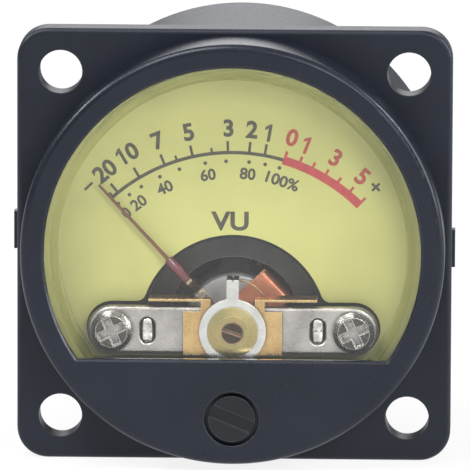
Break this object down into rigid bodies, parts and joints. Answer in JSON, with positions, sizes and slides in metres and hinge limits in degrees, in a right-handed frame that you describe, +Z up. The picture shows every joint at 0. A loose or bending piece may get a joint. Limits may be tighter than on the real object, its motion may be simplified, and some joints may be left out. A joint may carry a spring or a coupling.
{
  "type": "panel meter",
  "caption": "Round analog level meter on a square flange: yellow-green dial, swinging pointer, moving-coil movement behind a cut-out, zero screw below the window.",
  "frame": {"origin": "centre of the flange's rear face, on the barrel's axis, where the meter meets its panel", "axes": "+Z up, the dial faces -Y, the barrel and terminals point to +Y, +X is to the right seen from the front"},
  "size_m": [0.0456, 0.0428, 0.045],
  "materials": {
    "case_body": "black moulded plastic, fine matt grain",
    "front_cover": "black moulded plastic, fine matt grain",
    "crystal": "clear polished plastic",
    "dial_plate": "yellow-green translucent sheet with printed scales",
    "dial_diffuser": "white translucent sheet",
    "movement_frame": "black moulded plastic",
    "yoke_ring": "blackened soft iron",
    "magnet_core": "ground magnet alloy",
    "core_spacers": "brass",
    "front_bridge": "nickel-plated stamping",
    "bridge_screws": "nickel-plated screws",
    "stop_plate": "bright brass stamping",
    "zero_regulator": "nickel-plated stamping",
    "spring_washer": "dished brass washer",
    "front_bush": "turned brass",
    "front_jewel_screw": "bronze screw",
    "front_jewel": "synthetic jewel",
    "rear_bridge": "nickel-plated stamping",
    "rear_bridge_screws": "nickel-plated screws",
    "rear_spring_tag": "brass tag",
    "rear_jewel_screw": "bronze screw",
    "rear_jewel": "synthetic jewel",
    "rear_lock_nut": "turned brass",
    "coil_former": "thin metal former",
    "coil_winding": "enamelled copper wire",
    "front_spindle": "polished steel",
    "rear_spindle": "polished steel",
    "pointer_arm": "flat metal strip",
    "pointer": "thin lacquered pointer",
    "pointer_sleeve": "maroon lacquer joint",
    "balance_cross": "thin brass cross",
    "balance_weights": "small coiled weights",
    "front_hairspring": "phosphor bronze spring",
    "rear_hairspring": "phosphor bronze spring",
    "zero_screw": "black glossy plastic",
    "zero_screw_clip": "spring steel",
    "meter_terminals": "brass studs",
    "terminal_washers": "plated washers",
    "solder_tags": "tinned tags",
    "terminal_nuts": "brass nuts",
    "backlight_lamp": "clear glass lamp",
    "lamp_leads": "tinned wire",
    "lamp_terminals": "brass pins"
  },
  "bodies": {
    "case": {"case_body": "case_body", "front_cover": "front_cover", "crystal": "crystal", "dial_plate": "dial_plate", "dial_diffuser": "dial_diffuser", "movement_frame": "movement_frame", "yoke_ring": "yoke_ring", "magnet_core": "magnet_core", "core_spacers": "core_spacers", "front_bridge": "front_bridge", "bridge_screws": "bridge_screws", "stop_plate": "stop_plate", "spring_washer": "spring_washer", "front_bush": "front_bush", "front_jewel_screw": "front_jewel_screw", "front_jewel": "front_jewel", "rear_bridge": "rear_bridge", "rear_bridge_screws": "rear_bridge_screws", "rear_spring_tag": "rear_spring_tag", "rear_jewel_screw": "rear_jewel_screw", "rear_jewel": "rear_jewel", "rear_lock_nut": "rear_lock_nut", "front_hairspring": "front_hairspring", "rear_hairspring": "rear_hairspring", "meter_terminals": "meter_terminals", "terminal_washers": "terminal_washers", "solder_tags": "solder_tags", "terminal_nuts": "terminal_nuts", "backlight_lamp": "backlight_lamp", "lamp_leads": "lamp_leads", "lamp_terminals": "lamp_terminals"},
    "moving_coil": {"coil_former": "coil_former", "coil_winding": "coil_winding", "front_spindle": "front_spindle", "rear_spindle": "rear_spindle", "pointer_arm": "pointer_arm", "pointer": "pointer", "pointer_sleeve": "pointer_sleeve", "balance_cross": "balance_cross", "balance_weights": "balance_weights"},
    "regulator": {"zero_regulator": "zero_regulator"},
    "zero_screw": {"zero_screw": "zero_screw", "zero_screw_clip": "zero_screw_clip"}
  },
  "joints": [
    {"name": "pointer_swing", "type": "hinge", "parent": "case", "child": "moving_coil", "pos_m": [0, 0, -0.00835], "axis": [0, 1, 0], "range_deg": [-2.5, 88.5], "stiffness_Nm_per_rad": 0.00000125, "deforming": ["front_hairspring", "rear_hairspring"]},
    {"name": "zero_screw_turn", "type": "hinge", "parent": "case", "child": "zero_screw", "pos_m": [0, 0, -0.01705], "axis": [0, 1, 0], "range_deg": [-35, 35]},
    {"name": "regulator_turn", "type": "hinge", "parent": "case", "child": "regulator", "pos_m": [0, 0, -0.00835], "axis": [0, 1, 0], "range_deg": [-4.7, 4.7]}
  ],
  "couplings": [
    {"joint": "regulator_turn", "follows": "zero_screw_turn", "ratio": -0.1299}
  ]
}
